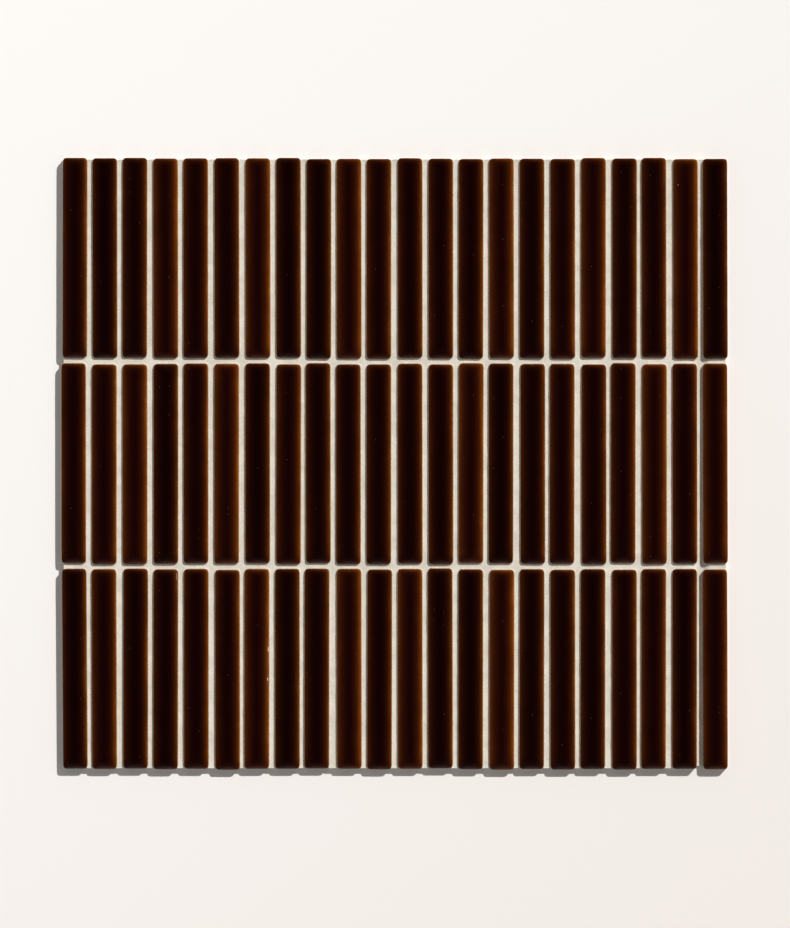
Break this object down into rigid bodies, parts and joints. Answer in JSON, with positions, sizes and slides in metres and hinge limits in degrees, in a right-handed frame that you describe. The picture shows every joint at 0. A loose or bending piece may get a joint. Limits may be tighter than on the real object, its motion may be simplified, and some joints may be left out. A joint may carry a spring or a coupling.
{
  "type": "porcelain mosaic sheet",
  "caption": "Mosaic sheet of slender upright glazed porcelain sticks in three rows, grouted below their cushioned edges, with a flat back.",
  "frame": {"origin": "middle of the sheet's flat back", "axes": "+X across the sticks, along a row; +Y along the sticks, from the bottom row to the top row; +Z from the back up to the glazed face"},
  "size_m": [0.3058, 0.2808, 0.006],
  "materials": {
    "glazed_porcelain": "gloss glaze over porcelain",
    "grout": "fine sanded cement grout"
  },
  "bodies": {
    "root": {"stick_column_01": "glazed_porcelain", "stick_column_02": "glazed_porcelain", "stick_column_03": "glazed_porcelain", "stick_column_04": "glazed_porcelain", "stick_column_05": "glazed_porcelain", "stick_column_06": "glazed_porcelain", "stick_column_07": "glazed_porcelain", "stick_column_08": "glazed_porcelain", "stick_column_09": "glazed_porcelain", "stick_column_10": "glazed_porcelain", "stick_column_11": "glazed_porcelain", "stick_column_12": "glazed_porcelain", "stick_column_13": "glazed_porcelain", "stick_column_14": "glazed_porcelain", "stick_column_15": "glazed_porcelain", "stick_column_16": "glazed_porcelain", "stick_column_17": "glazed_porcelain", "stick_column_18": "glazed_porcelain", "stick_column_19": "glazed_porcelain", "stick_column_20": "glazed_porcelain", "stick_column_21": "glazed_porcelain", "stick_column_22": "glazed_porcelain", "grout": "grout"}
  },
  "joints": []
}
